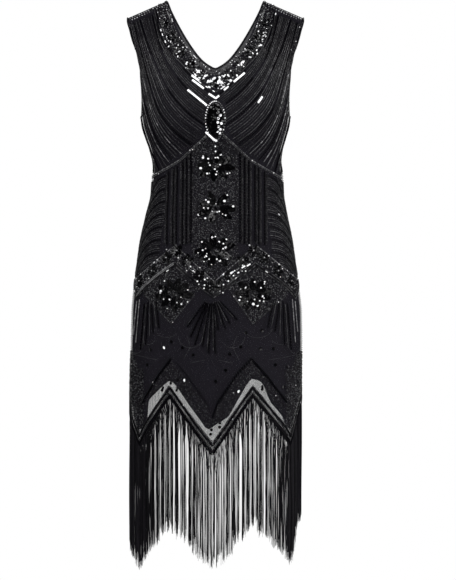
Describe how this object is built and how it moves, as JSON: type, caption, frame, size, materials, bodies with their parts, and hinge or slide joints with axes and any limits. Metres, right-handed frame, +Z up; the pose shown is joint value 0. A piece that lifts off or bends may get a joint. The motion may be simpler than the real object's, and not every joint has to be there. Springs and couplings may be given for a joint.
{
  "type": "flapper dress",
  "caption": "Sleeveless flapper dress with a V neck, beaded net over a lining, zigzag hem and long fringe, in its worn hollow shape.",
  "frame": {"origin": "midway between the two shoulder seams, at half the height of their slope, where the wearer's shoulders hold the dress", "axes": "+Z up, +X to the wearer's left, the front faces -Y"},
  "size_m": [0.3566, 0.2538, 1.1306],
  "materials": {
    "beaded_net": "black tulle sewn with matt and silver-lined bugle beads, seed beads and sequins",
    "lining_satin": "black knit lining with a soft sheen",
    "bead_trim": "rows of small glossy black and gunmetal beads",
    "sequins": "black and silver cupped sequins and facetted beads",
    "fringe_beads": "fine black strands"
  },
  "bodies": {
    "root": {"front_panel": "beaded_net", "back_panel": "beaded_net", "front_lining": "lining_satin", "back_lining": "lining_satin", "neck_binding": "bead_trim", "armhole_binding_left": "bead_trim", "armhole_binding_right": "bead_trim", "empire_chevron_front": "bead_trim", "empire_chevron_back": "bead_trim", "hip_chevron_front": "bead_trim", "hip_chevron_back": "bead_trim", "hem_border_front": "bead_trim", "hem_border_back": "bead_trim", "medallion": "sequins", "flower_front_upper": "sequins", "flower_front_middle": "sequins", "flower_front_lower": "sequins", "flower_hip_right": "sequins", "flower_hip_left": "sequins", "flower_back_upper": "sequins", "flower_back_lower": "sequins", "fringe_front": "fringe_beads", "fringe_back": "fringe_beads"}
  },
  "joints": []
}
